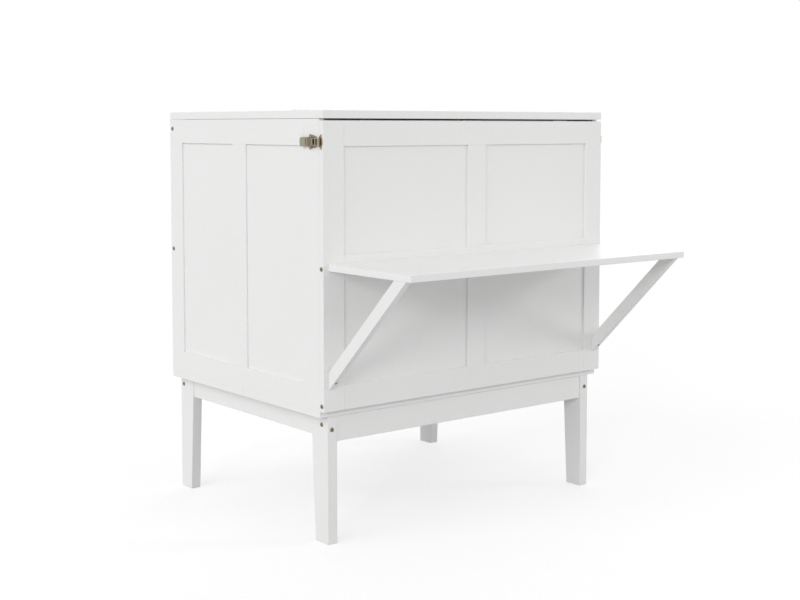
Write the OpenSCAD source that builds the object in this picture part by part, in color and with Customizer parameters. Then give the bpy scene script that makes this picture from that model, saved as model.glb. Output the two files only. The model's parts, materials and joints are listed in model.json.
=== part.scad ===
// Wall bed that closes into a cabinet on four tapered legs. The front panel folds down and becomes
// the middle of the bed deck, its desk shelf becomes the deck's foot, an extension board unfolds
// beyond it, and the front half of the top folds back onto the rear half.
// Millimetres. +Z is up, -Y is the front with the desk shelf. The origin is on the floor, in the
// middle of the whole object.

/* [Cabinet] */
// Width of the cabinet over its side panels
body_w = 1040; // [940:1:1500]
// Depth of the cabinet, from the front panel's face to the back
body_d = 800; // [700:1:900]
// Height of the side panels
side_h = 767; // [700:1:840]
// Thickness of the boards and of the framed panels' members
board_t = 18; // [16:0.5:22]
// Thickness of the two top boards
top_t = 22; // [18:0.5:28]
// Gap between the two halves of the top and of the base
seam_gap = 0.5; // [0.3:0.1:1]

/* [Framed panels] */
// Width of the side and back panels' stiles, muntins and top rails
side_member = 70; // [55:1:85]
// Width of the front panel's stiles, muntins and rails
door_member = 67; // [55:1:85]
// Height of the lowest rail on every framed panel
bottom_rail = 66; // [50:1:85]
// Thickness of the thin panels held in the frames
panel_t = 8; // [6:0.5:9]
// How far the thin panels lie behind their frame's face
panel_recess = 5; // [3:0.5:6]
// How far the thin panels' edges run into the frame
tongue = 8; // [5:0.5:12]
// How far the back frame stands inside the rear edge of the sides
back_inset = 6; // [2:0.5:12]

/* [Front panel] */
// Gap between the front panel's top edge and the top board
door_gap = 5; // [4.5:0.1:9]
// Running gap behind the front panel
door_clear = 0.5; // [0.4:0.1:1]
// Height of the middle rail's centre over the front panel's bottom edge
middle_rail_up = 376; // [365:1:392]
// How far the muntins stand right of the middle
muntin_shift = 13.5; // [-20:0.5:20]

/* [Desk shelf] */
// How far each end of the shelf stays inside the cabinet's side
shelf_in = 15; // [5:1:30]
// Height of the shelf's middle over the front panel's bottom edge
shelf_up = 380; // [360:1:392]
// How far behind the shelf's front edge the struts' centre line meets it
strut_in = 42; // [30:1:90]
// How far below the shelf the struts' centre line meets the front panel
strut_drop = 290; // [250:1:310]
// Width of a strut across its slope
strut_w = 33.5; // [25:0.5:36]

/* [Leg frame] */
// Height of the legs, from the floor to the base boards
leg_h = 345; // [300:1:380]
// Width of a leg along the cabinet's front
leg_w = 30.5; // [25:0.5:45]
// Depth of a leg at its top
leg_top_d = 72; // [60:1:90]
// Depth of a leg at its foot
leg_foot_d = 57; // [40:1:60]
// How far the legs stand inside the cabinet's sides
leg_side_in = 27; // [10:1:45]
// How far the legs stand inside the base boards' front and rear edges
leg_end_in = 3; // [1:0.5:12]
// Height of the front and rear aprons
front_apron_h = 70; // [50:1:90]
// Height of the side aprons
side_apron_h = 58; // [45:1:80]
// How far the aprons lie behind the legs' faces
apron_recess = 3; // [1:0.5:6]
// Width and height of the rail under the seam of the base boards
centre_rail_size = 45; // [35:1:58]

/* [Extension] */
// How much longer the extension board is than its folded legs
ext_spare = 58; // [45:1:80]
// Gap between the extension board and each side panel
ext_side_gap = 4; // [3:0.5:10]
// Width of an extension leg seen from the foot of the bed
ext_leg_w = 40; // [30:1:50]
// How far the extension legs stand inside the ends of their board
ext_leg_in = 60; // [30:1:120]
// Gap kept under the shelf's edge and the extension legs when the bed is open
floor_gap = 4.75; // [1:0.25:8]

/* [Hinges] */
// Length of each hinge
hinge_len = 60; // [50:1:90]
// Width of one hinge leaf, from the pin to its free edge
leaf_w = 32; // [24:1:40]
// Thickness of a hinge leaf
leaf_t = 2; // [1.5:0.1:2.5]
// Radius of the hinge knuckles
knuckle_r = 3; // [2.6:0.1:3.2]
// Radius of the hinge pins
pin_r = 1.5; // [1.2:0.05:1.7]
// Distance of the top hinges from the cabinet's middle
top_hinge_x = 313; // [200:1:400]
// Distance of the outer front panel hinges from the cabinet's middle
door_hinge_x = 360; // [200:1:420]

/* [Latches] */
// Distance of the latches' middle below the front panel's top edge
latch_down = 55; // [40:1:120]
// Height of the latch base plates and strikes
latch_h = 42; // [36:1:50]
// Height of the latch levers
lever_h = 25; // [20:1:28]
// Thickness of the latch metal
latch_t = 1.5; // [1:0.1:1.8]
// Distance of the lever pin behind the front panel's face
lever_pin_back = 50; // [44:0.5:56]
// Distance of the lever's free end behind the front panel's face
lever_end_back = 89; // [86:1:110]

/* [Bolts] */
// Radius of the bolt heads
bolt_head_r = 6; // [4:0.5:8]
// Height of the bolt heads
bolt_head_h = 2.5; // [1.5:0.5:4]
// Radius of the bolt shanks
bolt_r = 3; // [2:0.25:3.5]
// Length of the bolt shanks
bolt_len = 30; // [20:1:34]

/* [Hidden] */

white = [0.93, 0.93, 0.92];
brass = [0.62, 0.54, 0.36];
steel = [0.72, 0.72, 0.72];
$fn = 48;

// Clearances
run_fit = 0.05;
fit_gap = 0.1;
part_gap = 0.3;
relief = 0.4;
through = 1;
left = -1;
right = 1;

// Heights and depths that the pieces share. Depths count from the front panel's face.
deck_z = leg_h + board_t;
side_top_z = deck_z + side_h;
top_z = side_top_z + top_t;
door_h = side_h - door_gap;
door_top_z = deck_z + door_h;
side_y = board_t + door_clear;
mid_y = body_d / 2;
half_w = body_w / 2;
inner_half = half_w - board_t;

// When the bed is open the shelf stands on its front edge, so the deck's height sets its depth
shelf_out = deck_z - board_t - door_clear / 2 - floor_gap;
strut_reach = shelf_out - strut_in;
front_y = -(body_d - shelf_out) / 2;

// Front panel
door_mid_z = deck_z + middle_rail_up;
muntin_x = muntin_shift - door_member / 2;
door_edge_x = half_w - door_member;
door_low_z = deck_z + bottom_rail;
door_high_z = door_top_z - door_member;
door_panel_x = [[-door_edge_x, muntin_x], [muntin_x + door_member, door_edge_x]];
door_panel_z = [[door_low_z, door_mid_z - door_member / 2], [door_mid_z + door_member / 2, door_high_z]];

// Side panels
side_stile_y = side_y + side_member;
side_rear_y = body_d - side_member;
side_muntin_y = (side_y + body_d - side_member) / 2;
side_low_z = deck_z + bottom_rail;
side_high_z = side_top_z - side_member;
side_panel_y = [[side_stile_y, side_muntin_y], [side_muntin_y + side_member, side_rear_y]];

// Back panel
back_y = body_d - back_inset - board_t;
back_edge_x = inner_half - side_member;
back_low_z = deck_z + bottom_rail;
back_mid_z = door_mid_z - side_member / 2;
back_high_z = side_top_z - side_member;
back_panel_z = [[back_low_z, back_mid_z], [back_mid_z + side_member, back_high_z]];

// Leg frame
leg_x = half_w - leg_side_in;
leg_front_y = side_y + leg_end_in;
leg_rear_y = body_d - leg_end_in;
apron_x = leg_x - apron_recess;
corner_block_leg = 48;
corner_block_h = 40;
block_edge = 10;
leg_side_bolt_front = 27;
leg_side_bolt_rear = 16.5;
leg_side_bolt_down = 25;
leg_face_bolt_in = 13.5;
leg_face_bolt_down = 36;

// Shelf and struts
shelf_x = half_w - shelf_in;
shelf_z = deck_z + shelf_up - board_t / 2;
strut_angle = atan2(strut_reach, strut_drop);
strut_on_door = strut_w / sin(strut_angle) / 2;
strut_on_shelf = strut_w / cos(strut_angle) / 2;
strut_low_z = shelf_z - strut_drop;
strut_screw_up = 30;
screw_head_r = 4;
screw_head_h = 1.2;
screw_r = 2;
screw_len = 24;

// Hinge axes
top_axis = [mid_y, top_z + knuckle_r + part_gap];
door_axis = [board_t + door_clear / 2, deck_z];
ext_axis = [board_t + door_clear / 2, door_top_z + door_clear / 2];
flush = leaf_t + door_clear / 2;
surface = knuckle_r + part_gap;
third = hinge_len / 3;
top_hinge_list = [-top_hinge_x, top_hinge_x];
door_hinge_list = [-door_hinge_x, 0, door_hinge_x];

// Extension
ext_y = board_t + door_clear;
ext_face_y = ext_y + board_t;
ext_x = inner_half - ext_side_gap;
ext_pivot_r = 4;
ext_pivot_up = 30;
ext_round = 12;
ext_pivot_clear = 1;
ext_pivot_y = ext_face_y + ext_round + ext_pivot_clear;
ext_leg_len = deck_z - door_clear / 2 - board_t - door_clear - (ext_pivot_y - ext_face_y) - floor_gap;
ext_low_z = door_top_z - ext_leg_len - ext_spare;
ext_pivot_z = ext_low_z + ext_pivot_up;
ext_bar_up = 40;
ext_leg_x = ext_x - ext_leg_in;
bracket_t = 3;
bracket_w = 40;
pivot_stub = 4;

// Latches. Distances out count from the cabinet's side, distances back from the front panel's face.
latch_z = door_top_z - latch_down;
plate_front = 27;
plate_rear = 60;
pin_out = 4.2;
latch_pin_r = 1.2;
barrel_r = 2.6;
lever_out = 5;
hook_pin_out = lever_out + latch_t + barrel_r + part_gap;
hook_pin_back = 57;
finger_len = 16;
finger_back = lever_end_back - finger_len;
finger_out = 12;
ear_t = 1.5;
hook_out = 9.6;
hook_side = 2;
hook_h = lever_h - 2 * hook_side;
hook_front = 7;
hook_under = 6.6;
lip_back = 10;
lip_out = 5.4;
lip_h = 20;
strike_edge = 1;

// Bolts
side_bolt_y = body_d - back_inset - board_t / 2;
side_bolt_down = 27;
door_bolt_up = 15;

module box(low, high) {
    translate(low) cube(high - low);
}

module placed() {
    translate([0, front_y, 0]) children();
}

// Draws its children on the right, turned over for the left
module sided(s) {
    placed() mirror([s == left ? 1 : 0, 0, 0]) children();
}

// Extrudes an outline of depths and heights along X, centred on x
module along_x(x, length) {
    translate([x - length / 2, 0, 0]) rotate([90, 0, 90]) linear_extrude(length) children();
}

module rod_x(x, y, z, r, length) {
    translate([x - length / 2, y, z]) rotate([0, 90, 0]) cylinder(r = r, h = length);
}

// A bolt whose head stands out along +X from the origin
module bolt() {
    cylinder_x(bolt_head_r, 0, bolt_head_h);
    cylinder_x(bolt_r, -bolt_len, 0);
}

module cylinder_x(r, low, high) {
    translate([low, 0, 0]) rotate([0, 90, 0]) cylinder(r = r, h = high - low);
}

module bolt_hole() {
    cylinder_x(bolt_r + fit_gap, -bolt_len - through, through);
}

// Thin panels. grow is 0 for the panel and the groove's clearance for the cut.
module door_panel_set(grow) {
    edge = tongue + grow;
    for (x = door_panel_x, z = door_panel_z)
        box([x[0] - edge, panel_recess - grow, z[0] - edge],
            [x[1] + edge, panel_recess + panel_t + grow, z[1] + edge]);
}

module side_panel_set(grow) {
    edge = tongue + grow;
    for (y = side_panel_y)
        box([half_w - panel_recess - panel_t - grow, y[0] - edge, side_low_z - edge],
            [half_w - panel_recess + grow, y[1] + edge, side_high_z + edge]);
}

module back_panel_set(grow) {
    edge = tongue + grow;
    for (z = back_panel_z)
        box([-back_edge_x - edge, back_y + panel_recess - grow, z[0] - edge],
            [back_edge_x + edge, back_y + panel_recess + panel_t + grow, z[1] + edge]);
}

// Hinges. The pin lies along X through the origin and the leaf runs towards +Y, with its lower face
// at drop below the pin. The plate has the two outer knuckles and the flap has the middle one.
module knuckles(middle, r, gap) {
    if (middle)
        rod_x(0, 0, 0, r, third - 2 * gap);
    else
        for (s = [left, right])
            rod_x(s * (third + gap / 2), 0, 0, r, third - gap);
}

module hinge_half(middle, drop) {
    difference() {
        union() {
            knuckles(middle, knuckle_r, part_gap / 2);
            box([-hinge_len / 2, knuckle_r + relief, -drop], [hinge_len / 2, leaf_w, leaf_t - drop]);
            hinge_webs(middle, drop);
        }
        rod_x(0, 0, 0, pin_r + run_fit, hinge_len + 2 * through);
    }
}

module hinge_webs(middle, drop) {
    if (middle)
        box([part_gap / 2 - third / 2, 0, -drop], [third / 2 - part_gap / 2, leaf_w / 2, leaf_t - drop]);
    else
        for (s = [left, right])
            translate([s * (third + part_gap / 4), 0, 0])
                box([part_gap / 4 - third / 2, 0, -drop],
                    [third / 2 - part_gap / 4, leaf_w / 2, leaf_t - drop]);
}

module hinge_pin() {
    rod_x(0, 0, 0, pin_r, hinge_len);
}

// The seat that a flush leaf and the knuckles need in the wood
module hinge_seat(drop) {
    rod_x(0, 0, 0, knuckle_r + relief, hinge_len + 2 * part_gap);
    box([-hinge_len / 2 - part_gap, 0, -drop - fit_gap],
        [hinge_len / 2 + part_gap, leaf_w + part_gap, knuckle_r]);
}

module at_hinges(list, axis) {
    for (x = list)
        translate([x, axis[0], axis[1]]) children();
}

module door_plate_pose() {
    at_hinges(door_hinge_list, door_axis) children();
}

module door_flap_pose() {
    at_hinges(door_hinge_list, door_axis) rotate([-90, 0, 0]) mirror([0, 1, 0]) children();
}

module ext_plate_pose() {
    at_hinges(door_hinge_list, ext_axis) rotate([-90, 0, 0]) children();
}

module ext_flap_pose() {
    at_hinges(door_hinge_list, ext_axis) rotate([90, 0, 0]) mirror([0, 1, 0]) children();
}

// Leg frame. s is the side and e is 0 at the front and 1 at the rear.
module at_leg(s, e) {
    placed() mirror([s == left ? 1 : 0, 0, 0])
        translate([0, e == 0 ? leg_front_y : leg_rear_y, 0]) mirror([0, e, 0]) children();
}

module leg_bolt_set(e) {
    side_in = e == 0 ? leg_side_bolt_front : leg_side_bolt_rear;
    translate([leg_x, side_in, leg_h - leg_side_bolt_down]) children();
    translate([leg_x - leg_face_bolt_in, 0, leg_h - leg_face_bolt_down]) rotate([0, 0, -90]) children();
}

module leg(s, e) {
    color(white) at_leg(s, e) difference() {
        along_x(leg_x - leg_w / 2, leg_w)
            polygon([[0, 0], [leg_foot_d, 0], [leg_top_d, leg_h - side_apron_h], [leg_top_d, leg_h],
                     [0, leg_h]]);
        leg_bolt_set(e) bolt_hole();
    }
}

module front_left_leg() leg(left, 0);
module front_right_leg() leg(right, 0);
module rear_left_leg() leg(left, 1);
module rear_right_leg() leg(right, 1);

module end_apron(e) {
    color(white) at_leg(right, e)
        box([leg_w - leg_x, apron_recess, leg_h - front_apron_h],
            [leg_x - leg_w, apron_recess + board_t, leg_h]);
}

module front_apron() end_apron(0);
module rear_apron() end_apron(1);

module side_apron(s) {
    color(white) sided(s)
        box([apron_x - board_t, leg_front_y + leg_top_d, leg_h - side_apron_h],
            [apron_x, leg_rear_y - leg_top_d, leg_h]);
}

module left_apron() side_apron(left);
module right_apron() side_apron(right);

module centre_rail() {
    rail_x = apron_x - board_t;
    color(white) placed()
        box([-rail_x, mid_y - centre_rail_size / 2, leg_h - centre_rail_size],
            [rail_x, mid_y + centre_rail_size / 2, leg_h]);
}

// Blocks that tie each leg to the front or rear apron behind it
module corner_blocks() {
    color(white)
        for (s = [left, right], e = [0, 1])
            at_leg(s, e) difference() {
                translate([leg_x - leg_w, apron_recess + board_t, leg_h - corner_block_h])
                    linear_extrude(corner_block_h)
                        polygon([[0, 0], [0, corner_block_leg], [-block_edge, corner_block_leg],
                                 [-corner_block_leg, block_edge], [-corner_block_leg, 0]]);
                leg_bolt_set(e) bolt_hole();
            }
}

module leg_bolts() {
    color(brass)
        for (s = [left, right], e = [0, 1])
            at_leg(s, e) leg_bolt_set(e) bolt();
}

// Base boards
module base_board(low, high) {
    color(white) placed() difference() {
        box([-half_w, low, leg_h], [half_w, high, deck_z]);
        door_plate_pose() hinge_seat(leaf_t);
    }
}

module front_base_board() base_board(side_y, mid_y - seam_gap / 2);
module rear_base_board() base_board(mid_y + seam_gap / 2, body_d);

// Side panels
module side_member_box(s, low, high) {
    color(white) sided(s) difference() {
        box([inner_half, low[0], low[1]], [half_w, high[0], high[1]]);
        side_panel_set(fit_gap);
        side_bolt_set() bolt_hole();
    }
}

module side_bolt_set() {
    for (z = [side_top_z - side_bolt_down, door_mid_z])
        translate([half_w, side_bolt_y, z]) children();
}

module side_front_stile(s) side_member_box(s, [side_y, deck_z], [side_stile_y, side_top_z]);
module side_rear_stile(s) side_member_box(s, [side_rear_y, deck_z], [body_d, side_top_z]);
module side_muntin(s)
    side_member_box(s, [side_muntin_y, side_low_z], [side_muntin_y + side_member, side_high_z]);
module side_rails(s) {
    side_member_box(s, [side_stile_y, deck_z], [side_rear_y, side_low_z]);
    side_member_box(s, [side_stile_y, side_high_z], [side_rear_y, side_top_z]);
}
module side_panels(s) color(white) sided(s) side_panel_set(0);

module left_front_stile() side_front_stile(left);
module left_rear_stile() side_rear_stile(left);
module left_muntin() side_muntin(left);
module left_rails() side_rails(left);
module left_panels() side_panels(left);
module right_front_stile() side_front_stile(right);
module right_rear_stile() side_rear_stile(right);
module right_muntin() side_muntin(right);
module right_rails() side_rails(right);
module right_panels() side_panels(right);

// Back panel
module back_member(low, high) {
    color(white) placed() difference() {
        box([low[0], back_y, low[1]], [high[0], back_y + board_t, high[1]]);
        back_panel_set(fit_gap);
        side_bolt_set() bolt_hole();
        mirror([1, 0, 0]) side_bolt_set() bolt_hole();
    }
}

module back_stiles() {
    back_member([-inner_half, deck_z], [-back_edge_x, side_top_z]);
    back_member([back_edge_x, deck_z], [inner_half, side_top_z]);
}

module back_rails() {
    back_member([-back_edge_x, deck_z], [back_edge_x, back_low_z]);
    back_member([-back_edge_x, back_mid_z], [back_edge_x, back_mid_z + side_member]);
    back_member([-back_edge_x, back_high_z], [back_edge_x, side_top_z]);
}

module back_panels() color(white) placed() back_panel_set(0);

module side_bolts() {
    color(brass)
        for (s = [left, right])
            sided(s) side_bolt_set() bolt();
}

// Top boards and their hinges
module rear_top_board() {
    color(white) placed() box([-half_w, mid_y + seam_gap / 2, side_top_z], [half_w, body_d, top_z]);
}

module front_top_board() {
    color(white) placed() box([-half_w, 0, side_top_z], [half_w, mid_y - seam_gap / 2, top_z]);
}

module top_hinge_plates() {
    color(white) placed() at_hinges(top_hinge_list, top_axis) hinge_half(false, surface);
}

module top_hinge_flaps() {
    color(white) placed() at_hinges(top_hinge_list, top_axis)
        mirror([0, 1, 0]) hinge_half(true, surface);
}

module top_hinge_pins() {
    color(steel) placed() at_hinges(top_hinge_list, top_axis) hinge_pin();
}

// Front panel
module door_member_box(low, high) {
    color(white) placed() difference() {
        box([low[0], 0, low[1]], [high[0], board_t, high[1]]);
        door_panel_set(fit_gap);
        door_flap_pose() hinge_seat(flush);
        ext_plate_pose() hinge_seat(flush);
        door_bolt_set() bolt_hole();
        mirror([1, 0, 0]) door_bolt_set() bolt_hole();
    }
}

module door_bolt_set() {
    for (z = [deck_z + door_bolt_up, door_mid_z])
        translate([half_w, board_t / 2, z]) children();
}

module door_left_stile() door_member_box([-half_w, deck_z], [-door_edge_x, door_top_z]);
module door_right_stile() door_member_box([door_edge_x, deck_z], [half_w, door_top_z]);
module door_top_rail() door_member_box([-door_edge_x, door_high_z], [door_edge_x, door_top_z]);
module door_bottom_rail() door_member_box([-door_edge_x, deck_z], [door_edge_x, door_low_z]);
module door_middle_rail()
    door_member_box([-door_edge_x, door_panel_z[0][1]], [door_edge_x, door_panel_z[1][0]]);
module door_muntins() {
    for (z = door_panel_z)
        door_member_box([muntin_x, z[0]], [muntin_x + door_member, z[1]]);
}
module door_panels() color(white) placed() door_panel_set(0);

module door_bolts() {
    color(brass)
        for (s = [left, right])
            sided(s) door_bolt_set() bolt();
}

module door_hinge_plates() {
    color(steel) placed() door_plate_pose() hinge_half(false, leaf_t);
}

module door_hinge_flaps() {
    color(steel) placed() door_flap_pose() hinge_half(true, flush);
}

module door_hinge_pins() {
    color(steel) placed() at_hinges(door_hinge_list, door_axis) hinge_pin();
}

// Desk shelf and its struts
module shelf() {
    color(white) placed() box([-shelf_x, -shelf_out, shelf_z], [shelf_x, 0, shelf_z + board_t]);
}

module strut_screw_pose() {
    translate([shelf_x - board_t / 2, 0, strut_low_z - strut_on_door]) rotate([strut_angle, 0, 0])
        translate([0, 0, strut_screw_up]) rotate([0, 0, -90]) children();
}

module strut(s) {
    color(white) sided(s) difference() {
        along_x(shelf_x - board_t / 2, board_t)
            polygon([[0, strut_low_z - strut_on_door], [0, strut_low_z + strut_on_door],
                     [strut_on_shelf - strut_reach, shelf_z], [-strut_on_shelf - strut_reach, shelf_z]]);
        strut_screw_pose() cylinder_x(screw_r + fit_gap, -screw_len - through, through);
    }
}

module left_strut() strut(left);
module right_strut() strut(right);

module strut_screws() {
    color(brass)
        for (s = [left, right])
            sided(s) strut_screw_pose() {
                cylinder_x(screw_head_r, 0, screw_head_h);
                cylinder_x(screw_r, -screw_len, 0);
            }
}

// Extension board, its hinges and its folding legs
module extension_board() {
    color(white) placed() difference() {
        box([-ext_x, ext_y, ext_low_z], [ext_x, ext_face_y, door_top_z]);
        ext_flap_pose() hinge_seat(flush);
    }
}

module extension_hinge_plates() {
    color(steel) placed() ext_plate_pose() hinge_half(false, flush);
}

module extension_hinge_flaps() {
    color(steel) placed() ext_flap_pose() hinge_half(true, flush);
}

module extension_hinge_pins() {
    color(steel) placed() at_hinges(door_hinge_list, ext_axis) hinge_pin();
}

module extension_leg_outline() {
    thick_y = ext_round - board_t;
    intersection() {
        circle(ext_round);
        translate([-ext_round, -ext_round]) square([board_t, ext_round]);
    }
    translate([-ext_round, 0]) square([-thick_y + ext_round, ext_leg_len]);
}

module extension_legs() {
    color(white)
        for (s = [left, right])
            sided(s) difference() {
                translate([0, ext_pivot_y, ext_pivot_z])
                    along_x(ext_leg_x - ext_leg_w / 2, ext_leg_w) extension_leg_outline();
                rod_x(ext_leg_x, ext_pivot_y, ext_pivot_z, ext_pivot_r + run_fit, 2 * ext_leg_w + through);
            }
}

module extension_crossbar() {
    bar_x = ext_leg_x - ext_leg_w;
    bar_z = ext_pivot_z + ext_leg_len - ext_bar_up;
    color(white) placed()
        box([-bar_x, ext_pivot_y - ext_round, bar_z - ext_leg_w],
            [bar_x, ext_pivot_y - ext_round + board_t, bar_z]);
}

module extension_brackets() {
    color(steel)
        for (s = [left, right])
            sided(s) {
                bracket_x = ext_leg_x + part_gap;
                rod_x(bracket_x - (ext_leg_w + pivot_stub) / 2 + bracket_t, ext_pivot_y, ext_pivot_z,
                      ext_pivot_r, ext_leg_w + pivot_stub + 2 * bracket_t);
                translate([0, ext_face_y, ext_pivot_z]) {
                    box([bracket_x, 0, -bracket_w / 2],
                        [bracket_x + bracket_t, ext_pivot_y - ext_face_y + ext_round / 2, bracket_w / 2]);
                    box([bracket_x, 0, -bracket_w / 2],
                        [bracket_x + bracket_w / 2, bracket_t, bracket_w / 2]);
                }
            }
}

// Latches. The outlines hold the distance back and the distance out from the cabinet's side.
module latch_profile(low, high) {
    translate([half_w, 0, latch_z + low]) linear_extrude(high - low) rotate(90) mirror([0, 1])
        children();
}

module latch_rod(back, out, r, length) {
    translate([half_w + out, back, latch_z - length / 2]) cylinder(r = r, h = length);
}

module latch_plates() {
    ear_z = lever_h / 2 + fit_gap;
    color(brass)
        for (s = [left, right])
            sided(s) {
                translate([half_w, 0, latch_z]) rotate([90, 0, 90]) linear_extrude(latch_t)
                    polygon([[plate_front, -lever_h / 2 - ear_t], [plate_rear, -latch_h / 2],
                             [plate_rear, latch_h / 2], [plate_front, lever_h / 2 + ear_t]]);
                for (z = [-ear_z - ear_t, ear_z])
                    latch_profile(z, z + ear_t)
                        polygon([[plate_front + ear_t, 0], [lever_pin_back + barrel_r, 0],
                                 [lever_pin_back + barrel_r, pin_out], [lever_pin_back, pin_out + barrel_r],
                                 [lever_pin_back - barrel_r, pin_out]]);
                latch_rod(lever_pin_back, pin_out, latch_pin_r, lever_h + ear_t);
            }
}

module latch_lever(s) {
    ear_z = hook_h / 2 + fit_gap;
    color(brass) sided(s) difference() {
        union() {
            latch_rod(lever_pin_back, pin_out, barrel_r, lever_h);
            latch_profile(-lever_h / 2, lever_h / 2)
                polygon([[lever_pin_back, lever_out], [finger_back, lever_out],
                         [lever_end_back, finger_out - latch_t], [lever_end_back, finger_out],
                         [finger_back, lever_out + latch_t], [lever_pin_back, lever_out + latch_t]]);
            for (z = [-ear_z - ear_t, ear_z])
                latch_profile(z, z + ear_t)
                    polygon([[hook_pin_back - barrel_r, lever_out], [hook_pin_back + 3 * barrel_r, lever_out],
                             [hook_pin_back + barrel_r, hook_pin_out],
                             [hook_pin_back, hook_pin_out + barrel_r],
                             [hook_pin_back - barrel_r, hook_pin_out]]);
            latch_rod(hook_pin_back, hook_pin_out, latch_pin_r, hook_h + ear_t);
        }
        latch_rod(lever_pin_back, pin_out, latch_pin_r + run_fit, lever_h + through);
    }
}

module latch_hook(s) {
    color(brass) sided(s) difference() {
        union() {
            latch_rod(hook_pin_back, hook_pin_out, barrel_r, hook_h);
            latch_profile(-hook_h / 2, hook_h / 2)
                polygon([[hook_pin_back, hook_out], [hook_pin_back, hook_out + latch_t],
                         [lip_back, hook_out + latch_t], [hook_front, hook_out],
                         [hook_front, hook_under], [hook_front + latch_t, hook_under],
                         [hook_front + latch_t, hook_out - latch_t / 2], [lip_back + latch_t, hook_out]]);
        }
        latch_rod(hook_pin_back, hook_pin_out, latch_pin_r + run_fit, hook_h + through);
    }
}

module left_latch_lever() latch_lever(left);
module right_latch_lever() latch_lever(right);
module left_latch_hook() latch_hook(left);
module right_latch_hook() latch_hook(right);

module latch_strikes() {
    strike_rear = board_t - strike_edge;
    color(brass)
        for (s = [left, right])
            sided(s) {
                translate([half_w, 0, latch_z]) rotate([90, 0, 90]) linear_extrude(latch_t)
                    polygon([[strike_rear, -lever_h / 2], [strike_rear, lever_h / 2],
                             [board_t / 2, latch_h / 2], [strike_edge, strike_edge],
                             [strike_edge, -strike_edge], [board_t / 2, -latch_h / 2]]);
                latch_profile(-lip_h / 2, lip_h / 2)
                    polygon([[lip_back + latch_t, 0], [lip_back + latch_t / 2, lip_out],
                             [lip_back - latch_t, lip_out], [lip_back - latch_t / 2, 0]]);
            }
}

front_left_leg();
front_right_leg();
rear_left_leg();
rear_right_leg();
front_apron();
rear_apron();
left_apron();
right_apron();
centre_rail();
corner_blocks();
leg_bolts();
front_base_board();
rear_base_board();
left_front_stile();
left_rear_stile();
left_muntin();
left_rails();
left_panels();
right_front_stile();
right_rear_stile();
right_muntin();
right_rails();
right_panels();
back_stiles();
back_rails();
back_panels();
side_bolts();
rear_top_board();
front_top_board();
top_hinge_plates();
top_hinge_flaps();
top_hinge_pins();
door_left_stile();
door_right_stile();
door_top_rail();
door_middle_rail();
door_bottom_rail();
door_muntins();
door_panels();
door_bolts();
shelf();
left_strut();
right_strut();
strut_screws();
door_hinge_plates();
door_hinge_flaps();
door_hinge_pins();
extension_board();
extension_hinge_plates();
extension_hinge_flaps();
extension_hinge_pins();
extension_legs();
extension_crossbar();
extension_brackets();
latch_plates();
latch_strikes();
left_latch_lever();
right_latch_lever();
left_latch_hook();
right_latch_hook();
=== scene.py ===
"""Finishes and fittings of a wall bed that closes into a white cabinet on four tapered legs.

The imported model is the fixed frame. Each painted board is dressed by a copy of its own solid with
eased edges. The bolts, screws, hinges and draw latches are built here in detail, at the places and
sizes of the solids that they stand for. Metres, +Z up, -Y the front with the desk shelf.
"""

import json
import logging
import math
from dataclasses import dataclass
from enum import Enum
from typing import NamedTuple, Optional, Sequence, Union

import bmesh
import bpy
import numpy as np
from mathutils import Matrix, Vector

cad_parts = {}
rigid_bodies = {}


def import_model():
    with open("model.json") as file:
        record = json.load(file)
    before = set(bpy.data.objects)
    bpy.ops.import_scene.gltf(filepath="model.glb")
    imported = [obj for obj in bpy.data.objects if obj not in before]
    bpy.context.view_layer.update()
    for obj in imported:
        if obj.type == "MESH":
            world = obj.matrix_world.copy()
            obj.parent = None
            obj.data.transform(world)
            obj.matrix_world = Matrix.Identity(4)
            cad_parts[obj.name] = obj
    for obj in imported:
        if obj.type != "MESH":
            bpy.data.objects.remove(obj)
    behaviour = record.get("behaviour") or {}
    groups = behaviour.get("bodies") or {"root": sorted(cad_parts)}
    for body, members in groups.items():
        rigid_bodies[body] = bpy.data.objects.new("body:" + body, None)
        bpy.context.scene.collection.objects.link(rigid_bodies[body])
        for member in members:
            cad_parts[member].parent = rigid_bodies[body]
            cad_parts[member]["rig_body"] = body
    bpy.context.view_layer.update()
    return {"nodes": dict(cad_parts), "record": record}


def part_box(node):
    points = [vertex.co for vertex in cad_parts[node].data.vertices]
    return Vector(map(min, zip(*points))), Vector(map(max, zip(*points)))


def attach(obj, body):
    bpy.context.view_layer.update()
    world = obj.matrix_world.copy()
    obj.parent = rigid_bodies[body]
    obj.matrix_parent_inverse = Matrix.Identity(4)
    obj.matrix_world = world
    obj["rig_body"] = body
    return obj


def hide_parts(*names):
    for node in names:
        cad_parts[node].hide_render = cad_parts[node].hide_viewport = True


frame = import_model()

MERGE_DISTANCE = 1e-5
FLAT_ANGLE = math.radians(0.3)
SMOOTH_ANGLE = math.radians(38)
EDGE_ANGLE = math.radians(30)
BORE_PLAY = 0.00005
log = logging.getLogger("wall_bed")

Node = bpy.types.Node
Mesh = bpy.types.Mesh
BMesh = bmesh.types.BMesh
BMVert = bmesh.types.BMVert
Point = tuple[float, float]
Spot = tuple[Vector, Vector]
Colour = tuple[float, float, float]
Input = Union[bpy.types.NodeSocket, Node, float, int, tuple]
Made = Union[BMesh, Mesh]


class Side(Enum):
    """The two sides of the cabinet, as seen from the front."""

    LEFT = -1
    RIGHT = 1


class Slot(Enum):
    """The record's material slots."""

    PAINT = "white_paint"
    HINGE_PAINT = "hinge_paint"
    BRASS = "aged_brass"
    STEEL = "hinge_steel"


class Recess(Enum):
    """Driver recess in a head: its corners, and how far every second one is drawn in."""

    HEXAGON = (6, 1.0)
    CROSS = (8, 0.32)


class Coat(NamedTuple):
    """A finish as a material, with its slot in the record."""

    material: bpy.types.Material
    slot: Slot


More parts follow.
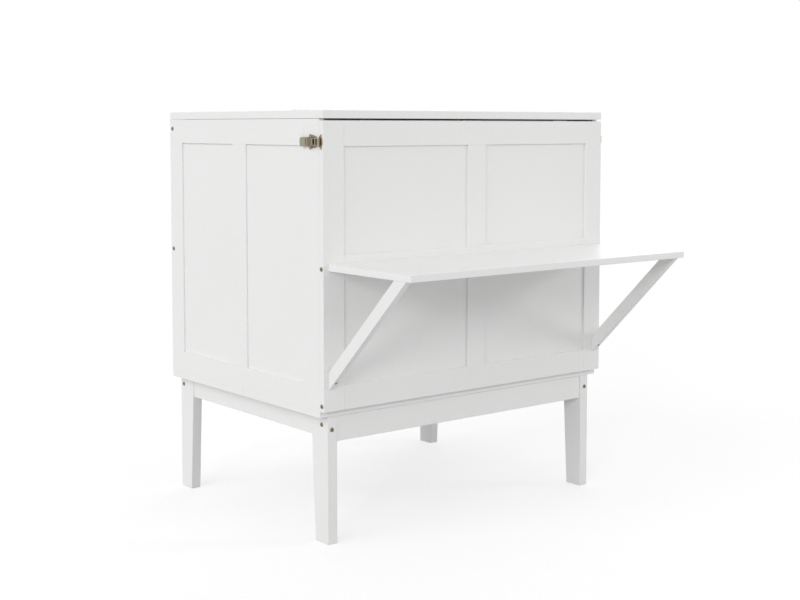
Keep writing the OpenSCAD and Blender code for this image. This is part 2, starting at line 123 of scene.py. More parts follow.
class NodeTree:
    """Adds nodes and links to one shader or geometry node tree, with short calls."""

    def __init__(self, tree: bpy.types.NodeTree) -> None:
        """Keeps the tree."""
        self.tree = tree

    def wire(self, node: Node, inputs: dict) -> None:
        """Links or sets a node's inputs.

        Args:
            node: the node.
            inputs: a value, an output, or a node for its first output, by socket name or number.
        """
        for key, value in inputs.items():
            if isinstance(value, Node):
                value = value.outputs[0]
            if isinstance(value, bpy.types.NodeSocket):
                self.tree.links.new(value, node.inputs[key])
            else:
                node.inputs[key].default_value = value

    def add(self, kind: str, inputs: Optional[dict] = None, **settings: object) -> Node:
        """Adds one node.

        Args:
            kind: the node's type name.
            inputs: what its sockets get, as for wire.
            settings: the node's own properties.

        Returns:
            The new node.
        """
        node = self.tree.nodes.new(kind)
        for key, value in settings.items():
            setattr(node, key, value)
        self.wire(node, inputs or {})
        return node

    def math(self, operation: str, *values: Input) -> Node:
        """Adds a Math node for floats."""
        return self.add("ShaderNodeMath", dict(enumerate(values)), operation=operation)

    def socket(self, name: str, kind: str, value: Optional[Input] = None,
               output: bool = False) -> str:
        """Adds a socket to a group's interface.

        Args:
            name: the socket's name.
            kind: its type, such as Float.
            value: its default.
            output: whether it is an output.

        Returns:
            The socket's identifier.
        """
        made = self.tree.interface.new_socket(
            name=name, in_out="OUTPUT" if output else "INPUT", socket_type="NodeSocket" + kind)
        if value is not None:
            made.default_value = value
        return made.identifier


class SurfaceEffects:
    """Shader node groups that several finishes share."""

    KINDS = {"Vector": "Vector", "Stretch": "Vector", "Colour": "Color"}
    BROAD_SHARE = 0.15
    BROAD_HEIGHT = 1.5
    EDGE_GAIN = 5.0
    HOLLOW_GAIN = 2.0
    HOLLOW_START = -0.5

    def __init__(self) -> None:
        """Builds each group once."""
        self.tone = self._tone()
        self.relief = self._relief()
        self.rubbed = self._rubbed()
        # dark patina in hollows together with painted shade under overhangs and round bolt rims
        self.tarnish = self._tarnish()

    def _open(self, name: str, result: str, inputs: dict) -> tuple:
        """Starts a group.

        Args:
            name: the group's name.
            result: its output's name.
            inputs: each input's default.

        Returns:
            The tree helper and the group's inputs.
        """
        tree = NodeTree(bpy.data.node_groups.new(name, "ShaderNodeTree"))
        for entry, value in inputs.items():
            tree.socket(entry, self.KINDS.get(entry, "Float"), value)
        tree.socket(result, self.KINDS.get(result, "Float"), output=True)
        return tree, tree.add("NodeGroupInput").outputs

    @staticmethod
    def _noise(tree: NodeTree, place: Input, scale: Input, detail: float) -> Node:
        """Adds a noise texture."""
        return tree.add("ShaderNodeTexNoise", {"Vector": place, "Scale": scale, "Detail": detail})

    def _tone(self) -> bpy.types.NodeTree:
        """A colour that drifts a little lighter and darker over the surface.

        Returns:
            The node group.
        """
        tree, given = self._open("tone_drift", "Colour", {"Vector": None, "Colour": None,
                                                          "Scale": 4.0, "Amount": 0.02})
        noise = self._noise(tree, given["Vector"], given["Scale"], 3.0)
        centred = tree.math("SUBTRACT", noise, 0.5)
        drift = tree.math("MULTIPLY_ADD", centred, given["Amount"], 1.0)
        scaled = tree.add("ShaderNodeVectorMath", {0: given["Colour"], "Scale": drift},
                          operation="SCALE")
        tree.add("NodeGroupOutput", {"Colour": scaled})
        return tree.tree

    def _relief(self) -> bpy.types.NodeTree:
        """Fine height of a rolled paint film or of brushed metal.

        Returns:
            The node group.
        """
        tree, given = self._open("fine_relief", "Height", {
            "Vector": None, "Stretch": (1.0, 1.0, 1.0), "Scale": 300.0})
        drawn = tree.add("ShaderNodeVectorMath", {0: given["Vector"], 1: given["Stretch"]},
                         operation="MULTIPLY")
        fine = self._noise(tree, drawn, given["Scale"], 2.0)
        wide = tree.math("MULTIPLY", given["Scale"], self.BROAD_SHARE)
        broad = self._noise(tree, drawn, wide, 1.0)
        height = tree.math("MULTIPLY_ADD", broad, self.BROAD_HEIGHT, fine)
        tree.add("NodeGroupOutput", {"Height": height})
        return tree.tree

    def _rubbed(self) -> bpy.types.NodeTree:
        """A mask of the outer edges that hands and tools rub bright.

        Returns:
            The node group.
        """
        tree, given = self._open("rubbed_edges", "Mask", {"Radius": 0.0006})
        soft = tree.add("ShaderNodeBevel", {"Radius": given["Radius"]}, samples=4)
        true = tree.add("ShaderNodeNewGeometry").outputs["Normal"]
        facing = tree.add("ShaderNodeVectorMath", {0: soft, 1: true}, operation="DOT_PRODUCT")
        turned = tree.math("SUBTRACT", 1.0, facing.outputs["Value"])
        mask = tree.math("MINIMUM", tree.math("MULTIPLY", turned, self.EDGE_GAIN), 1.0)
        tree.add("NodeGroupOutput", {"Mask": mask})
        return tree.tree

    def _tarnish(self) -> bpy.types.NodeTree:
        """A mask from ambient occlusion, broken up by noise: dark patina in hollows, and painted
        shade under straps, overhangs and round the rims of heads.

        Returns:
            The node group.
        """
        tree, given = self._open("tarnish", "Mask", {"Vector": None, "Reach": 0.004,
                                                     "Scale": 250.0, "Spread": 0.3})
        # occlusion marks hollows and whatever lies under an overhang; the mask paints shade there
        # as well as patina
        free = tree.add("ShaderNodeAmbientOcclusion", {"Distance": given["Reach"]}, samples=8)
        noise = self._noise(tree, given["Vector"], given["Scale"], 3.0)
        hollow = tree.math("SUBTRACT", 1.0, free.outputs["AO"])
        deep = tree.math("MULTIPLY_ADD", hollow, self.HOLLOW_GAIN, self.HOLLOW_START)
        deep = tree.add("ShaderNodeClamp", {0: deep})
        mottled = tree.math("MULTIPLY_ADD", noise, given["Spread"], deep)
        tree.add("NodeGroupOutput", {"Mask": tree.add("ShaderNodeClamp", {0: mottled})})
        return tree.tree


class Blank:
    """A new material with a Principled shader, whose finish is still to come."""

    def __init__(self, name: str, slot: Slot) -> None:
        """Makes the material.

        Args:
            name: the material's name.
            slot: its slot in the record.
        """
        self.material, self.slot = bpy.data.materials.new(name), slot
        self.material.use_nodes = True
        self.tree = NodeTree(self.material.node_tree)
        self.shader = self.material.node_tree.nodes["Principled BSDF"]
        self.place = self.tree.add("ShaderNodeTexCoord").outputs["Object"]

    def group(self, group: bpy.types.NodeTree, **inputs: Input) -> Node:
        """Places a shader group."""
        return self.tree.add("ShaderNodeGroup", inputs, node_tree=group)

    def finish(self, colour: Input, gloss: Input, height: Input, depth: float,
               strength: float) -> Coat:
        """Connects the shader.

        Args:
            colour: the base colour.
            gloss: the roughness.
            height: the relief.
            depth: height of the relief's peaks.
            strength: how strongly it shows.

        Returns:
            The coat.
        """
        bump = self.tree.add("ShaderNodeBump", {"Height": height, "Distance": depth,
                                                "Strength": strength})
        self.tree.wire(self.shader, {"Base Color": colour, "Roughness": gloss, "Normal": bump})
        return Coat(self.material, self.slot)


@dataclass(frozen=True)
class PaintFinish:
    """White paint, rolled on board or sprayed on a hinge."""

    slot: Slot
    colour: Colour
    roughness: float
    tone_scale: float
    tone_amount: float
    peel_scale: float
    peel_depth: float
    peel_strength: float = 0.5
    peel_range: Point = (0.6, 1.9)
    gloss_drift: Point = (-0.04, 0.05)

    def coat(self, effects: SurfaceEffects) -> Coat:
        """Builds the paint.

        Args:
            effects: the shared shader groups.

        Returns:
            The coat.
        """
        blank = Blank(self.slot.value, self.slot)
        tone = blank.group(effects.tone, Vector=blank.place, Colour=(*self.colour, 1.0),
                           Scale=self.tone_scale, Amount=self.tone_amount)
        height = blank.group(effects.relief, Vector=blank.place, Scale=self.peel_scale)
        gloss = blank.tree.add("ShaderNodeMapRange", {
            "Value": height, "From Min": self.peel_range[0], "From Max": self.peel_range[1],
            "To Min": self.roughness + self.gloss_drift[0],
            "To Max": self.roughness + self.gloss_drift[1]})
        return blank.finish(tone, gloss, height, self.peel_depth, self.peel_strength)


@dataclass(frozen=True)
class MetalFinish:
    """Plated metal with bright rubbed edges, and dark patina with painted shade in hollows and
    under overhangs.
    """

    slot: Slot
    # bright: rubbed edges; body: plain metal; dark: patina and painted shade in hollows and under
    # overhangs
    bright: Colour
    body: Colour
    dark: Colour
    roughness: float
    brush: tuple[float, float, float] = (0.2, 0.2, 1.0)
    brush_scale: float = 900.0
    brush_depth: float = 0.00004
    brush_strength: float = 0.6
    # reach, noise and added roughness of the mask of patina and painted shade
    tarnish_reach: float = 0.009
    tarnish_spread: float = 0.2
    tarnish_roughness: float = 0.25
    edge_radius: float = 0.0004
    label: str = ""

    def coat(self, effects: SurfaceEffects) -> Coat:
        """Builds the metal.

        Args:
            effects: the shared shader groups.

        Returns:
            The coat.
        """
        blank = Blank(self.label or self.slot.value, self.slot)
        # darkens hollows and what lies under overhangs: patina, with painted shade
        patina_shade = blank.group(effects.tarnish, Vector=blank.place, Reach=self.tarnish_reach,
                           Spread=self.tarnish_spread)
        edges = blank.group(effects.rubbed, Radius=self.edge_radius)
        colour = (*self.body, 1.0)
        for mask, other in ((patina_shade, self.dark), (edges, self.bright)):
            mix = blank.tree.add("ShaderNodeMix", {"Factor": mask, 6: colour, 7: (*other, 1.0)},
                                 data_type="RGBA")
            colour = mix.outputs[2]
        height = blank.group(effects.relief, Vector=blank.place, Stretch=self.brush,
                             Scale=self.brush_scale)
        gloss = blank.tree.math("MULTIPLY_ADD", patina_shade, self.tarnish_roughness, self.roughness)
        blank.tree.wire(blank.shader, {"Metallic": 1.0})
        return blank.finish(colour, gloss, height, self.brush_depth, self.brush_strength)


FINISHES = (
    PaintFinish(Slot.PAINT, colour=(0.845, 0.845, 0.84), roughness=0.42, tone_scale=3.0,
                tone_amount=0.03, peel_scale=420.0, peel_depth=0.00006),
    PaintFinish(Slot.HINGE_PAINT, colour=(0.82, 0.82, 0.815), roughness=0.3, tone_scale=30.0,
                tone_amount=0.04, peel_scale=700.0, peel_depth=0.00003),
    MetalFinish(Slot.BRASS, bright=(0.60, 0.55, 0.43), body=(0.34, 0.295, 0.21),
                dark=(0.17, 0.125, 0.07), roughness=0.42, tarnish_reach=0.004),
    MetalFinish(Slot.STEEL, bright=(0.78, 0.78, 0.77), body=(0.58, 0.58, 0.575),
                dark=(0.25, 0.245, 0.24), roughness=0.26, brush=(0.1, 1.0, 1.0),
                brush_scale=800.0, brush_depth=0.00003, tarnish_reach=0.002,
                tarnish_spread=0.15, edge_radius=0.0003),
)
# darker brass for bolts and ribs; its wide mask of patina and painted shade darkens the bolt heads'
# rims and the grooves between ribs
DARK_BRASS = MetalFinish(
    Slot.BRASS, bright=(0.52, 0.46, 0.36), body=(0.27, 0.23, 0.17), dark=(0.05, 0.035, 0.02),
    roughness=0.26, brush=(1.0, 1.0, 1.0), brush_depth=0.00003, tarnish_spread=0.3,
    edge_radius=0.0005, label="dark_brass")
RUBBED_BRASS = MetalFinish(
    Slot.BRASS, bright=(0.56, 0.53, 0.42), body=(0.37, 0.35, 0.265), dark=(0.10, 0.068, 0.036),
    roughness=0.3, label="rubbed_brass")


def body_of(node: str) -> str:
    """The body that a CAD node rides on."""
    return frame["nodes"][node]["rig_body"]


def merged(node: str) -> BMesh:
    """A copy of a CAD node's mesh with its loose triangles joined.

    Args:
        node: the node's name.

    Returns:
        The mesh.
    """
    made = bmesh.new()
    made.from_mesh(frame["nodes"][node].data)
    bmesh.ops.remove_doubles(made, verts=made.verts, dist=MERGE_DISTANCE)
    return made


def flat_faced(node: str) -> BMesh:
    """A copy of a CAD node's mesh in which each flat face is one polygon.

    Args:
        node: the node's name.

    Returns:
        The mesh.
    """
    made = merged(node)
    bmesh.ops.dissolve_limit(made, angle_limit=FLAT_ANGLE, verts=made.verts, edges=made.edges)
    return made


def solids(node: str) -> list[np.ndarray]:
    """The corner points of each separate solid in a CAD node.

    Args:
        node: the node's name.

    Returns:
        One array of points for each solid, ordered from left to right and from low to high.
    """
    made = merged(node)
    left, found = set(made.verts), []
    while left:
        group, edge = set(), [left.pop()]
        while edge:
            vertex = edge.pop()
            group.add(vertex)
            near = {other for link in vertex.link_edges for other in link.verts} & left
            left -= near
            edge.extend(near)
        found.append(np.array([v.co for v in group]))
    made.free()
    return sorted(found, key=lambda points: tuple(np.round(points.mean(0), 4)))


def headed_spots(node: str, rim_share: float = 0.95) -> list[Spot]:
    """Finds where the bolts or screws of a CAD node sit.

    Args:
        node: a node whose solids are shanks with a wider head.
        rim_share: points at least this far out, of the widest, belong to a head.

    Returns:
        For each one the middle of its head's seat and the direction in which the head stands out.
    """
    spots = []
    for points in solids(node):
        centre = points.mean(0)
        axis = np.linalg.svd(points - centre)[2][0]
        along = (points - centre) @ axis
        out = np.linalg.norm(points - centre - np.outer(along, axis), axis=1)
        head = out > rim_share * out.max()
        if along[head].mean() < 0:
            axis, along = -axis, -along
        spots.append((Vector(centre + axis * along[head].min()), Vector(axis)))
    return spots


def weigh(made: BMesh, shortest: float, crowded: float = 0.0, end_share: float = 1.0) -> None:
    """Marks the outer edges that settle is to ease.

    Args:
        made: the mesh.
        shortest: edges below this length stay sharp.
        crowded: edges that meet one below this length stay sharp.
        end_share: how far the edges across the long way are eased.
    """
    weight = made.edges.layers.float.new("bevel_weight_edge")
    long_way = int(np.ptp(np.array([v.co for v in made.verts]), axis=0).argmax())
    for edge in made.edges:
        if not edge.is_convex or edge.calc_face_angle(0.0) < EDGE_ANGLE:
            continue
        ends = [other.calc_length() for v in edge.verts for other in v.link_edges]
        if edge.calc_length() < shortest or min(ends) < crowded:
            continue
        way = (edge.verts[1].co - edge.verts[0].co).normalized()
        edge[weight] = end_share if abs(way[long_way]) < 0.5 else 1.0


def link(name: str, data: bpy.types.ID) -> bpy.types.Object:
    """Puts a mesh, lamp or camera into the scene.

    Args:
        name: the object's name.
        data: what it shows.

    Returns:
        The object.
    """
    made = bpy.data.objects.new(name, data)
    bpy.context.scene.collection.objects.link(made)
    return made


def evaluated(made: bpy.types.Object) -> Mesh:
    """A plain mesh of an object with its modifiers applied."""
    graph = bpy.context.evaluated_depsgraph_get()
    return bpy.data.meshes.new_from_object(made.evaluated_get(graph))


def settle(name: str, made: Made, coat: Coat, ease: float = 0.0) -> bpy.types.Object:
    """Turns a mesh into a finished object with smooth rounds and flat faces.

    Args:
        name: the piece's name.
        made: the mesh, whose weighted edges are eased.
        coat: its coat.
        ease: width of the eased edges.

    Returns:
        The object, at the origin, with nothing left on it.
    """
    rough = made
    if isinstance(made, BMesh):
        rough = bpy.data.meshes.new(name + "_rough")
        made.to_mesh(rough)
        made.free()
    holder = link(name + "_rough", rough)
    if ease:
        bevel = holder.modifiers.new("ease", "BEVEL")
        bevel.limit_method = "WEIGHT"
        bevel.width = ease
        bevel.segments = 2
    mesh = evaluated(holder)
    bpy.data.objects.remove(holder)
    mesh.polygons.foreach_set("use_smooth", [True] * len(mesh.polygons))
    mesh.set_sharp_from_angle(angle=SMOOTH_ANGLE)
    mesh.materials.clear()
    mesh.materials.append(coat.material)
    piece = link(name, mesh)
    piece.modifiers.new("flat_faces", "WEIGHTED_NORMAL").keep_sharp = True
    finished = evaluated(piece)
    piece.modifiers.clear()
    piece.data = finished
    finished.name = name
    return piece


def cut_away(name: str, made: BMesh, cutter: BMesh, coat: Coat) -> Mesh:
    """Cuts one mesh out of another.

    Args:
        name: the piece's name.
        made: the mesh to keep.
        cutter: the mesh to take away.
        coat: the piece's coat.

    Returns:
        What is left.
    """
    whole, tool = settle(name, made, coat), settle(name + "_cutter", cutter, coat)
    cut = whole.modifiers.new("cut", "BOOLEAN")
    cut.object = tool
    cut.operation = "DIFFERENCE"
    cut.use_self = True
    mesh = evaluated(whole)
    bpy.data.objects.remove(whole)
    bpy.data.objects.remove(tool)
    return mesh


def fit(name: str, made: Made, coat: Coat, body: str, *nodes: str, ease: float = 0.0) -> None:
    """Finishes a piece and hands it to the frame.

    Args:
        name: the piece's name.
        made: its mesh.
        coat: its coat.
        body: the body it rides on.
        nodes: the CAD nodes that it stands for.
        ease: width of its eased edges.
    """
    piece = settle(name, made, coat, ease)
    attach(piece, body)
    if nodes:
        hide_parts(*nodes)
    log.info("%s rides on %s, %d faces", name, body, len(piece.data.polygons))


class FastenerTree:
    """Geometry nodes that set a headed fastener on each point of a mesh."""

    HEAD_POWER = 0.45
    SINK = 0.0004
    KINDS = {"head_radius": "Float", "head_height": "Float", "taper": "Float",
             "recess_radius": "Float", "recess_depth": "Float", "recess_corners": "Int",
             "recess_waist": "Float", "shank_radius": "Float", "shank_length": "Float",
             "around": "Int", "rings": "Int", "seed": "Int", "material": "Material"}

    def __init__(self) -> None:
        """Builds the tree and keeps the identifiers of its inputs."""
        self.nodes = NodeTree(bpy.data.node_groups.new("headed_fasteners", "GeometryNodeTree"))
        self.nodes.socket("seats", "Geometry")
        self.inputs = {name: self.nodes.socket(name, kind) for name, kind in self.KINDS.items()}
        self.nodes.socket("fasteners", "Geometry", output=True)
        self.given = self.nodes.add("NodeGroupInput").outputs
        self._scatter(self._fastener())

    def _head(self) -> Node:
        """A grid wrapped into a domed head with a flat or a tapered underside.

        Returns:
            The node that gives the head.
        """
        add, calc, given = self.nodes.add, self.nodes.math, self.given
        columns = calc("ADD", given["around"], 1.0)
        grid = add("GeometryNodeMeshGrid", {"Size X": 1.0, "Size Y": 1.0, "Vertices X": columns,
                                            "Vertices Y": given["rings"]})
        place = add("ShaderNodeSeparateXYZ", {0: add("GeometryNodeInputPosition")}).outputs
        turn = calc("MULTIPLY", place["X"], 2 * math.pi)
        rise = calc("MULTIPLY", place["Y"], math.pi)
        share = calc("POWER", calc("MAXIMUM", calc("COSINE", rise), 0.0), self.HEAD_POWER)
        radius = calc("MULTIPLY", share, given["head_radius"])
        dome = calc("MULTIPLY", calc("MAXIMUM", calc("SINE", rise), 0.0), given["head_height"])
        below = calc("MULTIPLY", calc("SUBTRACT", 1.0, share), calc("LESS_THAN", rise, 0.0))
        drop = calc("MULTIPLY", below, given["taper"])
        point = add("ShaderNodeCombineXYZ", {
            "X": calc("MULTIPLY", radius, calc("COSINE", turn)),
            "Y": calc("MULTIPLY", radius, calc("SINE", turn)),
            "Z": calc("SUBTRACT", dome, drop)})
        wrapped = add("GeometryNodeSetPosition", {"Geometry": grid, "Position": point})
        return add("GeometryNodeMergeByDistance", {"Geometry": wrapped,
                                                   "Distance": MERGE_DISTANCE})

    def _recess(self) -> Node:
        """A prism for the driver, with every second corner drawn in for a cross.

        Returns:
            The node that gives the prism.
        """
        add, calc, given = self.nodes.add, self.nodes.math, self.given
        prism = add("GeometryNodeMeshCylinder", {
            "Vertices": given["recess_corners"], "Radius": given["recess_radius"],
            "Depth": calc("MULTIPLY", given["recess_depth"], 2.0)})
        odd = calc("MODULO", add("GeometryNodeInputIndex"), 2.0)
        waist = add("ShaderNodeCombineXYZ", {"X": given["recess_waist"],
                                             "Y": given["recess_waist"], "Z": 1.0})
        drawn = add("ShaderNodeVectorMath", {0: add("GeometryNodeInputPosition"), 1: waist},
                    operation="MULTIPLY")
        star = add("GeometryNodeSetPosition", {"Geometry": prism, "Selection": odd,
                                               "Position": drawn})
        lift = add("ShaderNodeCombineXYZ", {"Z": given["head_height"]})
        return add("GeometryNodeTransform", {"Geometry": star, "Translation": lift})

    def _fastener(self) -> Node:
        """The head with its recess, and the shank below it.

        Returns:
            The node that gives both.
        """
        add, calc, given = self.nodes.add, self.nodes.math, self.given
        cut = add("GeometryNodeMeshBoolean", {"Mesh 1": self._head(), "Mesh 2": self._recess()},
                  operation="DIFFERENCE")
        shank = add("GeometryNodeMeshCylinder", {
            "Vertices": given["around"], "Radius": given["shank_radius"],
            "Depth": given["shank_length"]})
        half = calc("MULTIPLY_ADD", given["shank_length"], -0.5, self.SINK)
        drop = add("ShaderNodeCombineXYZ", {"Z": half})
        hung = add("GeometryNodeTransform", {"Geometry": shank, "Translation": drop})
        joined = add("GeometryNodeJoinGeometry", {0: cut})
        self.nodes.wire(joined, {0: hung})
        return joined

    def _scatter(self, fastener: Node) -> None:
        """Sets one fastener on each seat, turned about its axis at random.

        Args:
            fastener: the node that gives it.
        """
        add, given = self.nodes.add, self.given
        out = add("GeometryNodeInputNamedAttribute", {"Name": "out"}, data_type="FLOAT_VECTOR")
        stand = add("FunctionNodeAlignRotationToVector", {"Vector": out}, axis="Z")
        placed = add("GeometryNodeInstanceOnPoints", {
            "Points": given["seats"], "Instance": fastener, "Rotation": stand})
        chance = add("FunctionNodeRandomValue", {2: 0.0, 3: 2 * math.pi, "Seed": given["seed"]},
                     data_type="FLOAT")
        spin = add("ShaderNodeCombineXYZ", {"Z": chance.outputs[1]})
        turned = add("GeometryNodeRotateInstances", {"Instances": placed, "Rotation": spin})
        real = add("GeometryNodeRealizeInstances", {0: turned})
        add("NodeGroupOutput", {0: add("GeometryNodeSetMaterial", {
            "Geometry": real, "Material": given["material"]})})


class Workshop:
    """Holds the coats and the fastener tree."""

    def __init__(self) -> None:
        """Builds every finish once."""
        effects = SurfaceEffects()
        self.coats = {finish.slot: finish.coat(effects) for finish in FINISHES}
        self.paint, self.brass, self.steel = (
            self.coats[slot] for slot in (Slot.PAINT, Slot.BRASS, Slot.STEEL))
        self.dark_brass = DARK_BRASS.coat(effects)
        self.rubbed_brass = RUBBED_BRASS.coat(effects)
        self.fasteners = FastenerTree()

    def dress_nodes(self) -> None:
        """Gives every CAD node the material of its slot in the record."""
        for part in frame["record"]["subparts"]:
            mesh = frame["nodes"][part["node"]].data
            mesh.materials.clear()
            mesh.materials.append(self.coats[Slot(part["material_slot"])].material)


@dataclass(frozen=True)
class Fastener:
    """Sizes of one kind of bolt or screw."""

    head_radius: float
    head_height: float
    recess: Recess
    recess_radius: float
    recess_depth: float
    shank_radius: float
    shank_length: float
    taper: float = 0.0
    around: int = 24
    rings: int = 15

    def plant(self, shop: Workshop, name: str, spots: Sequence[Spot], coat: Coat, body: str,
              *nodes: str) -> None:
        """Sets these fasteners on their seats as one plain mesh.

        Args:
            shop: the coats and the fastener tree.
            name: the piece's name.
            spots: the seats and their directions.
            coat: their coat.
            body: the body that they ride on.
            nodes: the CAD nodes that they stand for.
        """
        seats = bpy.data.meshes.new(name + "_seats")
        seats.from_pydata([seat for seat, _ in spots], [], [])
        out = seats.attributes.new("out", "FLOAT_VECTOR", "POINT")
        out.data.foreach_set("vector", [c for _, direction in spots for c in direction])
        holder = link(name + "_seats", seats)
        modifier = holder.modifiers.new("fasteners", "NODES")
        modifier.node_group = shop.fasteners.nodes.tree
        corners, waist = self.recess.value
        values = {**vars(self), "recess_corners": corners, "recess_waist": waist,
                  "seed": len(name), "material": coat.material}
        for key, socket in shop.fasteners.inputs.items():
            modifier[socket] = values[key]
        mesh = evaluated(holder)
        bpy.data.objects.remove(holder)
        fit(name, mesh, coat, body, *nodes)


def arc(centre: Point, radius: float, start: float, end: float, steps: int) -> list[Point]:
    """Points on an arc.

    Args:
        centre: its middle.
        radius: its radius.
        start: first angle in degrees.
        end: last angle in degrees.
        steps: how many stretches it has.

    Returns:
        The points from start to end.
    """
    angles = [math.radians(start + (end - start) * i / steps) for i in range(steps + 1)]
    return [(centre[0] + radius * math.cos(a), centre[1] + radius * math.sin(a)) for a in angles]


def rounded(corners: Sequence[tuple[float, float, float]], steps: int = 4) -> list[Point]:
    """An outline whose corners are rounded.

    Args:
        corners: each corner and its radius.
        steps: stretches in each round.

    Returns:
        The outline's points.
    """
    points = []
    for i, (x, y, radius) in enumerate(corners):
        if radius <= 0:
            points.append((x, y))
            continue
        here = Vector((x, y))
        before = (Vector(corners[i - 1][:2]) - here).normalized()
        after = (Vector(corners[(i + 1) % len(corners)][:2]) - here).normalized()
        half = before.angle(after) / 2
        reach = radius / math.tan(half)
        middle = here + (before + after).normalized() * (radius / math.sin(half))
        first, last = here + before * reach - middle, here + after * reach - middle
        for k in range(steps + 1):
            way = first.slerp(last, k / steps).normalized()
            points.append(tuple(middle + way * radius))
    return points


def inset(outline: Sequence[Point], distance: float, least: float = 0.3) -> list[Point]:
    """Moves an outline's points inwards.

    Args:
        outline: points in counter-clockwise order.
        distance: how far its lines move.
        least: limits how far a sharp corner's point moves.

    Returns:
        As many points.
    """
    moved = []
    for i, (x, y) in enumerate(outline):
        a = Vector((x, y)) - Vector(outline[i - 1])
        b = Vector(outline[(i + 1) % len(outline)]) - Vector((x, y))
        normals = Vector((-a.y, a.x)).normalized(), Vector((-b.y, b.x)).normalized()
        middle = (normals[0] + normals[1]).normalized()
        reach = distance / max(middle.dot(normals[0]), least)
        moved.append((x + middle.x * reach, y + middle.y * reach))
    return moved


def tube(outer: float, inner: float, low: float, high: float,
         chamfer: float = 0.0003) -> list[Point]:
    """The closed profile of a tube with chamfered ends, for Shape.turned.

    Args:
        outer: its outer radius.
        inner: its bore's radius.
        low: where it starts.
        high: where it ends.
        chamfer: size of the outer chamfers.

    Returns:
        The profile's points.
    """
    return [(inner, low), (outer - chamfer, low), (outer, low + chamfer),
            (outer, high - chamfer), (outer - chamfer, high), (inner, high)]


def rod(radius: float, low: float, high: float, dome: float, steps: int = 4) -> list[Point]:
    """The profile of a rod with domed ends, for Shape.turned.

    Args:
        radius: its radius.
        low: where it starts.
        high: where it ends.
        dome: height of each dome.
        steps: stretches in each dome.

    Returns:
        The profile's points.
    """
    bends = [math.radians(90 * i / steps) for i in range(1, steps + 1)]
    start = [(radius * math.sin(b), low + dome - dome * math.cos(b)) for b in bends]
    end = [(r, low + high - z) for r, z in reversed(start)]
    return [(0.0, low)] + start + end + [(0.0, high)]


class Shape:
    """A mesh under construction, drawn through a placing of its own."""

    def __init__(self, placing: Matrix = Matrix.Identity(4)) -> None:
        """Starts an empty mesh, placed from the drawing's own axes."""
        self.mesh = bmesh.new()
        self.placing = placing

    def vertex(self, x: float, y: float, z: float) -> BMVert:
        """One vertex at a point of the drawing."""
        return self.mesh.verts.new(self.placing @ Vector((x, y, z)))

    def loft(self, rings: Sequence[Sequence[BMVert]], closed: bool = False) -> None:
        """Joins rings of vertices into walls.

        Args:
            rings: rings with as many vertices each, or a single one for a pole.
            closed: whether the last ring joins the first, and otherwise both ends get a lid.
        """
        pairs = list(zip(rings, rings[1:]))
        if closed:
            pairs.append((rings[-1], rings[0]))
        for low, high in pairs:
            count = max(len(low), len(high))
            for i in range(count):
                j = (i + 1) % count
                corners = [low[i % len(low)], low[j % len(low)], high[j % len(high)],
                           high[i % len(high)]]
                self.mesh.faces.new(list(dict.fromkeys(corners)))
        for ring in () if closed else (rings[0], rings[-1]):
            if len(ring) > 2:
                self.mesh.faces.new(ring)

    def plate(self, outline: Sequence[Point], low: float, high: float, chamfer: float = 0.0,
              on_side: bool = False) -> None:
        """Extrudes an outline.

        Args:
            outline: the outline's points in order.
            low: where it starts.
            high: where it ends.
            chamfer: size of the small chamfer round both faces.
            on_side: whether the outline lies in X and Z, and otherwise in X and Y.
        """
        levels = [(outline, low), (outline, high)]
        if chamfer:
            inner = inset(outline, chamfer)
            levels = [(inner, low), (outline, low + chamfer), (outline, high - chamfer),
                      (inner, high)]
        self.loft([[self.vertex(x, z, y) if on_side else self.vertex(x, y, z) for x, y in ring]
                   for ring, z in levels])

    def turned(self, profile: Sequence[Point], origin: Sequence[float], axis: str,
               around: int = 24, closed: bool = False) -> None:
        """Turns a profile about a line.

        Args:
            profile: each point's radius and its distance along the line.
            origin: where the line starts.
            axis: X or Z, the line's direction.
            around: how many stretches go round.
            closed: whether the profile is a ring, as on a tube.
        """
        order = {"X": (2, 0, 1), "Z": (0, 1, 2)}[axis]
        rings = []
        for radius, along in profile:
            ring = []
            for i in range(around if radius > 0 else 1):
                a = 2 * math.pi * i / around
                local = (radius * math.cos(a), radius * math.sin(a), along)
                ring.append(self.vertex(*(origin[k] + local[order[k]] for k in range(3))))
            rings.append(ring)
        self.loft(rings, closed)

    def sheet(self, path: Sequence[tuple[float, float, float]], thick: float,
              chamfer: float = 0.0002) -> None:
        """Bends sheet metal along a path in X and Y, level along Z.

        Args:
            path: each station's X, Y and half its width along Z.
            thick: the sheet's thickness.
            chamfer: size of the chamfer on its edges.
        """
        t, c, rings = thick / 2, chamfer, []
        for i, (x, y, half) in enumerate(path):
            before, after = path[max(i - 1, 0)], path[min(i + 1, len(path) - 1)]
            way = Vector((after[0] - before[0], after[1] - before[1])).normalized()
            section = [(-t, c - half), (c - t, -half), (t - c, -half), (t, c - half),
                       (t, half - c), (t - c, half), (c - t, half), (-t, half - c)]
            rings.append([self.vertex(x - way.y * n, y + way.x * n, z) for n, z in section])
        self.loft(rings)

    def done(self) -> BMesh:
        """The mesh, with its faces turned outwards."""
        bmesh.ops.recalc_face_normals(self.mesh, faces=self.mesh.faces)
        return self.mesh


